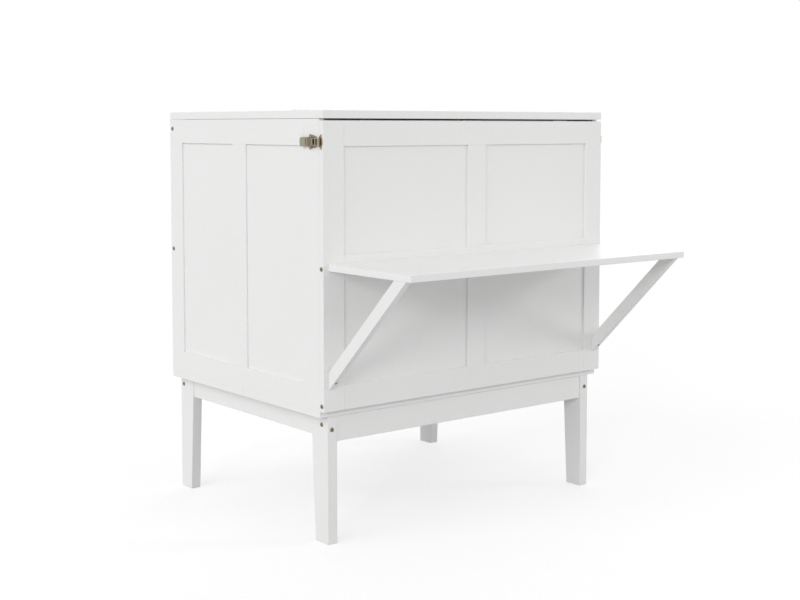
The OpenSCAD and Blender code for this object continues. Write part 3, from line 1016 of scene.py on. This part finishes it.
@dataclass
class Boards:
    """Painted boards of one sub-assembly, each dressed by a copy with eased edges."""

    label: str
    free: tuple[str, ...] = ()
    butted: tuple[str, ...] = ()
    open_joints: tuple[tuple[str, int, float, float], ...] = ()
    round_free: float = 0.001
    round_framed: float = 0.0006
    tight_share: float = 0.35
    shortest: float = 0.008
    crowded: float = 0.0015

    def _open_joint(self, node: str, made: BMesh) -> None:
        """Draws a board's ends in where its joint shows as a hairline gap.

        Args:
            node: the board's node.
            made: its mesh.
        """
        for name, axis, low_gap, high_gap in self.open_joints:
            if name == node:
                along = [v.co[axis] for v in made.verts]
                low, high = min(along), max(along)
                for vertex in made.verts:
                    if vertex.co[axis] < low + MERGE_DISTANCE:
                        vertex.co[axis] += low_gap
                    elif vertex.co[axis] > high - MERGE_DISTANCE:
                        vertex.co[axis] -= high_gap

    def build(self, shop: Workshop) -> None:
        """Dresses every board.

        Args:
            shop: the coats.
        """
        for node in self.free + self.butted:
            made, framed = flat_faced(node), node in self.butted
            self._open_joint(node, made)
            weigh(made, self.shortest, self.crowded, self.tight_share if framed else 1.0)
            ease = self.round_framed if framed else self.round_free
            fit(node + "_painted", made, shop.paint, body_of(node), node, ease=ease)
        log.info("%s: %d boards", self.label, len(self.free + self.butted))


@dataclass
class HingeSet:
    """Butt hinges in one row: a fixed half, a moving half and a pin each."""

    label: str
    slot: Slot
    plate_turn: float
    flap_turn: float
    plate_drop: float
    flap_drop: float
    length: float = 0.060
    leaf_w: float = 0.032
    leaf_t: float = 0.002
    leaf_chamfer: float = 0.00025
    knuckle_r: float = 0.003
    pin_r: float = 0.0015
    pin_dome: float = 0.0004
    web_end: float = 0.0034
    gap: float = 0.00015
    corner: float = 0.005
    sink_r: float = 0.0034
    sink_spare: float = 0.001
    screw_sunk: float = 0.0001
    screw_places: tuple = ((-0.021, 0.0235), (0.0, 0.014), (0.021, 0.0235))

    SCREW = Fastener(head_radius=0.0031, head_height=0.0003, recess=Recess.CROSS,
                     recess_radius=0.0018, recess_depth=0.0011, shank_radius=0.0014,
                     shank_length=0.014, taper=0.0016, around=18, rings=11)

    def _axes(self) -> list[Vector]:
        """The middle of each hinge pin."""
        return [Vector((points.min(0) + points.max(0)) / 2)
                for points in solids(self.label + "_pins")]

    def _half(self, placings: Sequence[Matrix], middle: bool, drop: float) -> BMesh:
        """Builds one half of every hinge: the leaf with its notches, and its knuckles.

        Args:
            placings: where each hinge is.
            middle: whether this half has the middle knuckle.
            drop: how far the leaf's lower face lies below the pin.

        Returns:
            The mesh.
        """
        end, step = self.length / 2, self.length / 6 + (-self.gap if middle else self.gap)
        inside, outside = (0.0, self.web_end) if middle else (self.web_end, 0.0)
        near = [(-end, outside), (-step, outside), (-step, inside), (step, inside),
                (step, outside), (end, outside)]
        outline = rounded([(x, y, 0.0) for x, y in near]
                          + [(x, self.leaf_w, self.corner) for x in (end, -end)])
        stretches = [(-step, step)] if middle else [(-end, -step), (step, end)]
        shape = Shape()
        for placing in placings:
            shape.placing = placing
            shape.plate(outline, -drop, self.leaf_t - drop, self.leaf_chamfer)
            for low, high in stretches:
                profile = tube(self.knuckle_r, self.pin_r + BORE_PLAY, low, high)
                shape.turned(profile, (0, 0, 0), "X", closed=True)
        return shape.done()

    def _countersinks(self, placings: Sequence[Matrix], drop: float) -> BMesh:
        """Cones that cut the screws' seats.

        Args:
            placings: where each hinge is.
            drop: how far the leaf's lower face lies below the pin.

        Returns:
            The mesh.
        """
        below = -self.leaf_t - self.sink_spare
        profile = [(0.0, below), (self.pin_r, below), (self.pin_r, -self.leaf_t),
                   (self.sink_r, 0.0), (self.sink_r, self.sink_spare), (0.0, self.sink_spare)]
        shape = Shape()
        for placing in placings:
            shape.placing = placing
            for x, y in self.screw_places:
                shape.turned(profile, (x, y, self.leaf_t - drop), "Z", around=20)
        return shape.done()

    def _add_half(self, shop: Workshop, middle: bool) -> None:
        """Builds one half's leaves, cuts their screw seats and sets the screws.

        Args:
            shop: the coats and the fastener tree.
            middle: whether it is the moving half, which has the middle knuckle.
        """
        node = self.label + ("_flaps" if middle else "_plates")
        turn, drop = ((self.flap_turn, self.flap_drop) if middle
                      else (self.plate_turn, self.plate_drop))
        lie = Matrix.Rotation(math.radians(turn), 4, "X")
        if middle:
            lie = lie @ Matrix.Scale(-1, 4, Vector((0, 1, 0)))
        placings = [Matrix.Translation(axis) @ lie for axis in self._axes()]
        name, coat, body = node + "_leaves", shop.coats[self.slot], body_of(node)
        mesh = cut_away(name, self._half(placings, middle, drop),
                        self._countersinks(placings, drop), coat)
        fit(name, mesh, coat, body, node)
        seat = self.leaf_t - drop - self.SCREW.head_height - self.screw_sunk
        spots = [(placing @ Vector((x, y, seat)), placing.to_3x3() @ Vector((0, 0, 1)))
                 for placing in placings for x, y in self.screw_places]
        self.SCREW.plant(shop, node + "_screws", spots, shop.steel, body)

    def build(self, shop: Workshop) -> None:
        """Builds both halves and the pins.

        Args:
            shop: the coats and the fastener tree.
        """
        for middle in (False, True):
            self._add_half(shop, middle)
        shape, pins = Shape(), self.label + "_pins"
        profile = rod(self.pin_r, -self.length / 2, self.length / 2, self.pin_dome)
        for axis in self._axes():
            shape.turned(profile, axis, "X", around=16)
        fit(pins + "_turned", shape.done(), shop.steel, body_of(pins), pins)


@dataclass
class DrawLatches:
    """A draw latch at each side: plate with ears, lever with a finger tab, hook and strike.

    The drawing's X is the distance back from the front, Y the distance out and Z the height.
    """

    lever_pin: Point = (0.050, 0.0042)
    hook_pin: Point = (0.057, 0.0094)
    pin_r: float = 0.0012
    pin_dome: float = 0.0005
    pin_stand: float = 0.0006
    barrel_r: float = 0.0026
    metal: float = 0.0015
    ear_t: float = 0.0015
    ear_chamfer: float = 0.0002
    plate_chamfer: float = 0.0003
    fit_gap: float = 0.0001
    plate_half: float = 0.021
    plate_ends: Point = (0.027, 0.060)
    plate_rounds: Point = (0.002, 0.003)
    lever_half: float = 0.0125
    lever_out: float = 0.005
    lever_bend: float = 0.065
    lever_end: float = 0.089
    neck_half: float = 0.0112
    neck_back: float = 0.068
    tab_spread: float = 0.004
    tab_steps: int = 18
    finger_out: float = 0.012
    finger_round: float = 0.0075
    rib_r: float = 0.0009
    rib_pitch: float = 0.0025
    rib_count: int = 8
    lever_ribs: Point = (0.0604, 0.073)
    hook_ribs: Point = (0.0385, 0.0544)
    hook_half: float = 0.0105
    hook_out: float = 0.0096
    hook_front: float = 0.018
    hook_rail: float = 0.0024
    hook_slots: tuple = ((0.0115, 0.0190), (0.0240, 0.0325))
    slot_round: float = 0.001
    curl: float = 0.0026
    curl_back: float = 0.0104
    tip_drop: float = 0.0010
    tip_narrow: float = 0.0006
    strike_nose: float = 0.001
    strike_wide: float = 0.007
    strike_rear: float = 0.017
    strike_rounds: Point = (0.0015, 0.0012)
    lip: tuple = ((0.0106, 0.0006, 0.010), (0.0104, 0.0030, 0.010), (0.010, 0.0046, 0.0094))
    lip_metal: float = 0.0012
    lip_roll: tuple = (0.0096, 0.0046, 0.0)
    roll_r: float = 0.0008
    roll_half: float = 0.010
    roll_dome: float = 0.0004
    plate_screws: tuple = ((0.0318, -0.0103), (0.0318, 0.0103), (0.0560, -0.0172),
                           (0.0560, 0.0172))
    strike_screws: tuple = ((0.0088, -0.0150), (0.0088, 0.0150), (0.0042, 0.0))

    SCREW = Fastener(head_radius=0.0021, head_height=0.0009, recess=Recess.CROSS,
                     recess_radius=0.0013, recess_depth=0.0006, shank_radius=0.0010,
                     shank_length=0.012, around=16, rings=11)

    def _placing(self, side: Side) -> Matrix:
        """Where a side's drawing lies in the frame.

        Args:
            side: left or right.

        Returns:
            The placing from the drawing to the frame.
        """
        low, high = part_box("latch_plates")
        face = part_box("door_left_stile")[0].y
        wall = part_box("left_front_stile")[0].x
        return Matrix(((0, side.value, 0, side.value * abs(wall)), (1, 0, 0, face),
                       (0, 0, 1, (low.z + high.z) / 2), (0, 0, 0, 1)))

    def _ears(self, shape: Shape, pin: Point, half: float, foot: list[Point],
              start: float) -> None:
        """Two ears and the pin through them.

        Args:
            shape: the drawing.
            pin: the pin's place.
            half: half the width of what turns between the ears.
            foot: an ear's two lower corners.
            start: angle at which an ear's round begins.
        """
        ear = foot + arc(pin, self.barrel_r, start, 180 - start, 8)
        for low in (-half - self.fit_gap - self.ear_t, half + self.fit_gap):
            shape.plate(ear, low, low + self.ear_t, self.ear_chamfer)
        reach = half + self.ear_t + self.pin_stand
        shape.turned(rod(self.pin_r, -reach, reach, self.pin_dome), (*pin, 0), "Z", around=16)

    def _barrel(self, shape: Shape, pin: Point, half: float) -> None:
        """The rolled barrel that turns on a pin."""
        profile = tube(self.barrel_r, self.pin_r + BORE_PLAY, -half, half)
        shape.turned(profile, (*pin, 0), "Z", around=20, closed=True)

    def _plate(self, shape: Shape) -> None:
        """The base plate with its two ears and the lever's pin.

        Args:
            shape: the drawing.
        """
        front_half, base = self.lever_half + self.ear_t, self.metal / 2
        (front, rear), (small, large) = self.plate_ends, self.plate_rounds
        corners = [(front, -front_half, small), (rear, -self.plate_half, large),
                   (rear, self.plate_half, large), (front, front_half, small)]
        shape.plate(rounded(corners), 0.0, self.metal, self.plate_chamfer, on_side=True)
        foot = [(front + self.ear_t, base), (self.lever_pin[0] + self.barrel_r, base)]
        self._ears(shape, self.lever_pin, self.lever_half, foot, 0)

    def _ribs(self, shape: Shape, stretch: Point, out: float) -> None:
        """A row of ribs along the sheet.

        Args:
            shape: the drawing.
            stretch: where they start and end, behind the front panel's face.
            out: the sheet's outer face.
        """
        for i in range(self.rib_count):
            height = (i - (self.rib_count - 1) / 2) * self.rib_pitch
            shape.turned(rod(self.rib_r, *stretch, self.rib_r), (0, out, height), "X", around=12)

    def _lever(self, shape: Shape) -> None:
        """The lever: rolled barrel, body, raised finger tab and the hook's ears.

        Args:
            shape: the drawing.
        """
        middle = self.lever_out + self.metal / 2
        end_out = self.finger_out - self.metal / 2
        path = [(back, middle, self.lever_half) for back in (self.lever_pin[0], self.lever_bend)]
        path.append((self.neck_back, middle, self.neck_half))
        for i in range(1, self.tab_steps + 1):
            share = math.sin(math.pi / 2 * i / self.tab_steps)
            back = self.neck_back + (self.lever_end - self.neck_back) * share
            rise = (end_out - middle) * share * share * (3 - 2 * share)
            past = max(0.0, back - self.lever_end + self.finger_round)
            corner = self.finger_round - math.sqrt(self.finger_round ** 2 - past ** 2)
            half = min(self.lever_half - corner, self.neck_half + share * self.tab_spread)
            path.append((back, middle + rise, half))
        shape.sheet(path, self.metal)
        self._barrel(shape, self.lever_pin, self.lever_half)
        back = self.hook_pin[0]
        foot = [(back - self.barrel_r, middle), (back + 3 * self.barrel_r, middle)]
        self._ears(shape, self.hook_pin, self.hook_half, foot, 10)

    def _hook(self, shape: Shape) -> None:
        """The hook: rolled barrel, strap and a curled tip.

        Args:
            shape: the drawing.
        """
        middle = self.hook_out + self.metal / 2
        path = [(back, middle, self.hook_half) for back in (self.hook_pin[0], self.hook_front)]
        bend = arc((self.curl_back, middle - self.curl), self.curl, 90, 180, 6)
        path += [(back, out, self.hook_half) for back, out in bend]
        path.append((self.curl_back - self.curl, middle - self.curl - self.tip_drop,
                     self.hook_half - self.tip_narrow))
        shape.sheet(path, self.metal)
        self._barrel(shape, self.hook_pin, self.hook_half)

    def _slots(self, shape: Shape) -> None:
        """The two slots that are punched through the hook's strap.

        Args:
            shape: the drawing.
        """
        half, turn = self.hook_half - self.hook_rail, self.slot_round
        for front, rear in self.hook_slots:
            corners = [(front, -half, turn), (rear, -half, turn), (rear, half, turn),
                       (front, half, turn)]
            shape.plate(rounded(corners), self.hook_out - self.metal,
                        self.hook_out + 2 * self.metal, on_side=True)

    def _strike(self, shape: Shape) -> None:
        """The strike: a pointed plate with a rolled lip that the hook catches.

        Args:
            shape: the drawing.
        """
        rear, half, wide = self.strike_rear, self.lever_half, self.strike_wide
        large, small = self.strike_rounds
        corners = [(rear, -half, large), (rear, half, large), (wide, self.plate_half, small),
                   (self.strike_nose, 0.0, small), (wide, -self.plate_half, small)]
        shape.plate(rounded(corners), 0.0, self.metal, self.plate_chamfer, on_side=True)
        shape.sheet(self.lip, self.lip_metal)
        profile = rod(self.roll_r, -self.roll_half, self.roll_half, self.roll_dome)
        shape.turned(profile, self.lip_roll, "Z", around=12)

    def _screws(self, places: Sequence[Point]) -> list[Spot]:
        """Seats of both sides' screws, which stand on a plate's face."""
        return [(placing @ Vector((back, self.metal, height)), placing.to_3x3() @ Vector((0, 1, 0)))
                for placing in map(self._placing, Side) for back, height in places]

    def build(self, shop: Workshop) -> None:
        """Builds the plates, strikes, levers, hooks and their screws.

        Args:
            shop: the coats and the fastener tree.
        """
        plates, strikes = Shape(), Shape()
        for side in Side:
            word, placing = side.name.lower(), self._placing(side)
            plates.placing = strikes.placing = placing
            self._plate(plates)
            self._strike(strikes)
            lever, lever_ribs, hook, hook_ribs, slots = (Shape(placing) for _ in range(5))
            self._lever(lever)
            self._ribs(lever_ribs, self.lever_ribs, self.lever_out + self.metal)
            self._hook(hook)
            self._ribs(hook_ribs, self.hook_ribs, self.hook_out + self.metal)
            self._slots(slots)
            fit(f"{word}_draw_lever", lever.done(), shop.rubbed_brass, f"{word}_lever",
                f"{word}_latch_lever")
            for part, ribs in (("lever", lever_ribs), ("hook", hook_ribs)):
                fit(f"{word}_{part}_ribs", ribs.done(), shop.dark_brass, f"{word}_{part}")
            name = f"{word}_draw_hook"
            fit(name, cut_away(name, hook.done(), slots.done(), shop.brass), shop.brass,
                f"{word}_hook", f"{word}_latch_hook")
        fit("latch_base_plates", plates.done(), shop.brass, "cabinet", "latch_plates")
        fit("latch_catches", strikes.done(), shop.brass, "front_panel", "latch_strikes")
        for name, places, body in (("latch_plate_screws", self.plate_screws, "cabinet"),
                                   ("latch_catch_screws", self.strike_screws, "front_panel")):
            self.SCREW.plant(shop, name, self._screws(places), shop.brass, body)


@dataclass
class Bolts:
    """Domed socket bolts in the frame and the small screws in the struts."""

    bolt: Fastener = Fastener(head_radius=0.006, head_height=0.0025, recess=Recess.HEXAGON,
                              recess_radius=0.0023, recess_depth=0.0016, shank_radius=0.003,
                              shank_length=0.030, around=32, rings=19)
    screw: Fastener = Fastener(head_radius=0.004, head_height=0.0012, recess=Recess.CROSS,
                               recess_radius=0.0024, recess_depth=0.0009, shank_radius=0.002,
                               shank_length=0.024, around=24, rings=13)

    def build(self, shop: Workshop) -> None:
        """Sets every bolt and strut screw on its seat.

        Args:
            shop: the coats and the fastener tree.
        """
        for node, kind in (("leg_bolts", self.bolt), ("side_bolts", self.bolt),
                           ("door_bolts", self.bolt), ("strut_screws", self.screw)):
            kind.plant(shop, node + "_headed", headed_spots(node), shop.dark_brass,
                       body_of(node), node)


@dataclass
class Brackets:
    """Steel brackets that the extension's legs turn in."""

    edge: float = 0.0004
    shortest: float = 0.002
    foot_t: float = 0.003
    screw_in: float = 0.007
    screw_up: float = 0.012

    SCREW = Fastener(head_radius=0.0036, head_height=0.0014, recess=Recess.CROSS,
                     recess_radius=0.0022, recess_depth=0.001, shank_radius=0.0018,
                     shank_length=0.016, around=20, rings=13)

    def build(self, shop: Workshop) -> None:
        """Dresses the brackets and sets their screws.

        Args:
            shop: the coats and the fastener tree.
        """
        node = "extension_brackets"
        made, body = flat_faced(node), body_of(node)
        weigh(made, self.shortest)
        fit("leg_brackets", made, shop.steel, body, node, ease=self.edge)
        low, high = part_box(node)
        spots = [(Vector((side.value * (high.x - self.screw_in), low.y + self.foot_t,
                          (low.z + high.z) / 2 + up)), Vector((0, 1, 0)))
                 for side in Side for up in (-self.screw_up, self.screw_up)]
        self.SCREW.plant(shop, "leg_bracket_screws", spots, shop.steel, body)


@dataclass(frozen=True)
class Sun:
    """Broad soft light from one direction, the same all over the floor."""

    name: str
    strength: float
    towards: tuple[float, float, float]
    softness: float

    def build(self) -> None:
        """Hangs the lamp."""
        data = bpy.data.lights.new(self.name, "SUN")
        data.energy = self.strength
        data.angle = math.radians(self.softness)
        turn = (-Vector(self.towards)).to_track_quat("-Z", "Y")
        link(self.name, data).rotation_euler = turn.to_euler()


@dataclass
class Studio:
    """White floor, soft daylight and the photograph's camera."""

    place: tuple[float, float, float] = (-2.5349, -3.0689, 1.1102)
    yaw: float = 38.631
    pitch: float = 3.98
    lens: float = 60.641
    film: float = 36.0
    rise: float = -0.10
    ambient: float = 0.63
    suns: tuple = (
        Sun("daylight", strength=0.74, towards=(-0.84, -0.04, 0.58), softness=40.0),
        Sun("left_window", strength=0.67, towards=(-1.5, -1.0, 0.55), softness=14.0),
        Sun("right_window", strength=0.555, towards=(1.5, -1.0, 0.55), softness=14.0),
        Sun("far_wall_light", strength=1.0, towards=(0.12, 0.10, 0.03), softness=60.0))
    floor_half: float = 40.0
    floor_seen: float = 0.42
    floor_lift: float = 0.62
    floor_bounce: float = 0.60

    def _camera(self) -> None:
        """Sets the camera at the photograph's viewing angle."""
        data = bpy.data.cameras.new("photo_view")
        data.lens, data.sensor_width = self.lens, self.film
        data.shift_y, data.clip_end = self.rise, 100.0
        camera = link("photo_view", data)
        camera.location = self.place
        camera.rotation_euler = (math.radians(90 - self.pitch), 0.0, -math.radians(self.yaw))
        bpy.context.scene.camera = camera

    @staticmethod
    def _seen(tree: NodeTree) -> Node:
        """Finds the rays that show the scene to the camera.

        Args:
            tree: the shader's tree.

        Returns:
            A node that gives 1 for rays from the camera, off glossy metal or through glass.
        """
        path = tree.add("ShaderNodeLightPath").outputs
        seen = tree.math("MAXIMUM", path["Is Camera Ray"], path["Is Glossy Ray"])
        return tree.math("MAXIMUM", seen, path["Is Transmission Ray"])

    def _world(self) -> None:
        """Even light from all round, seen as plain white."""
        world = bpy.data.worlds.new("white_room")
        world.use_nodes = True
        tree = NodeTree(world.node_tree)
        strength = tree.math("MULTIPLY_ADD", self._seen(tree), 1.0 - self.ambient, self.ambient)
        tree.wire(world.node_tree.nodes["Background"], {"Color": (1.0, 1.0, 1.0, 1.0),
                                                        "Strength": strength})
        bpy.context.scene.world = world

    def _floor(self) -> None:
        """A wide white floor that keeps the object's soft shadow."""
        reach = self.floor_half
        mesh = bpy.data.meshes.new("floor")
        mesh.from_pydata([(-reach, -reach, 0), (reach, -reach, 0), (reach, reach, 0),
                          (-reach, reach, 0)], [], [(0, 1, 2, 3)])
        material = bpy.data.materials.new("floor_white")
        material.use_nodes = True
        material.node_tree.nodes.clear()
        tree = NodeTree(material.node_tree)
        seen = self._seen(tree)
        tone = tree.math("MULTIPLY_ADD", seen, self.floor_seen - self.floor_bounce,
                         self.floor_bounce)
        matt = tree.add("ShaderNodeBsdfDiffuse", {"Color": tone})
        glow = tree.math("MULTIPLY", seen, self.floor_lift)
        lift = tree.add("ShaderNodeEmission", {"Strength": glow})
        both = tree.add("ShaderNodeAddShader", {0: matt, 1: lift})
        tree.add("ShaderNodeOutputMaterial", {"Surface": both})
        mesh.materials.append(material)
        link("floor", mesh)

    def build(self) -> None:
        """Sets up the studio."""
        self._camera()
        self._world()
        self._floor()
        for sun in self.suns:
            sun.build()
        bpy.context.scene.view_settings.view_transform = "Standard"


def sided(*parts: str) -> tuple[str, ...]:
    """The names of parts that both sides have, the left side's first."""
    return tuple(f"{side.name.lower()}_{part}" for side in Side for part in parts)


SEAM = 0.0006
HAIRLINE = 0.0002
DOOR_RAILS = ("door_top_rail", "door_middle_rail", "door_bottom_rail")
BOARDS = (
    Boards("leg frame",
           free=("front_left_leg", "front_right_leg", "rear_left_leg", "rear_right_leg",
                 "front_apron", "rear_apron", "left_apron", "right_apron", "front_base_board",
                 "rear_base_board"),
           butted=("centre_rail", "corner_blocks")),
    Boards("sides and back", butted=(*sided("front_stile", "rear_stile", "muntin", "rails"),
                                     "back_stiles", "back_rails")),
    Boards("top", free=("rear_top_board", "front_top_board"),
           open_joints=(("rear_top_board", 2, SEAM, 0.0), ("front_top_board", 2, SEAM, 0.0))),
    Boards("front panel", free=("shelf", *sided("strut")),
           butted=("door_left_stile", "door_right_stile", *DOOR_RAILS, "door_muntins"),
           open_joints=tuple((rail, 0, HAIRLINE, HAIRLINE) for rail in DOOR_RAILS)),
    Boards("extension", free=("extension_board", "extension_legs"),
           butted=("extension_crossbar",)),
)

SURFACE_DROP = 0.0033
LET_IN_DROP = 0.002
FLUSH_DROP = 0.00225
HINGES = (
    HingeSet("top_hinge", Slot.HINGE_PAINT, plate_turn=0, flap_turn=0, plate_drop=SURFACE_DROP,
             flap_drop=SURFACE_DROP),
    HingeSet("door_hinge", Slot.STEEL, plate_turn=0, flap_turn=-90, plate_drop=LET_IN_DROP,
             flap_drop=FLUSH_DROP),
    HingeSet("extension_hinge", Slot.STEEL, plate_turn=-90, flap_turn=90, plate_drop=FLUSH_DROP,
             flap_drop=FLUSH_DROP),
)


def main() -> None:
    """Builds the studio, the finishes and every sub-assembly in order."""
    logging.basicConfig(level=logging.INFO, format="%(name)s: %(message)s")
    Studio().build()
    shop = Workshop()
    shop.dress_nodes()
    for assembly in (*BOARDS, *HINGES, DrawLatches(), Bolts(), Brackets()):
        assembly.build(shop)


if __name__ == "__main__":
    main()
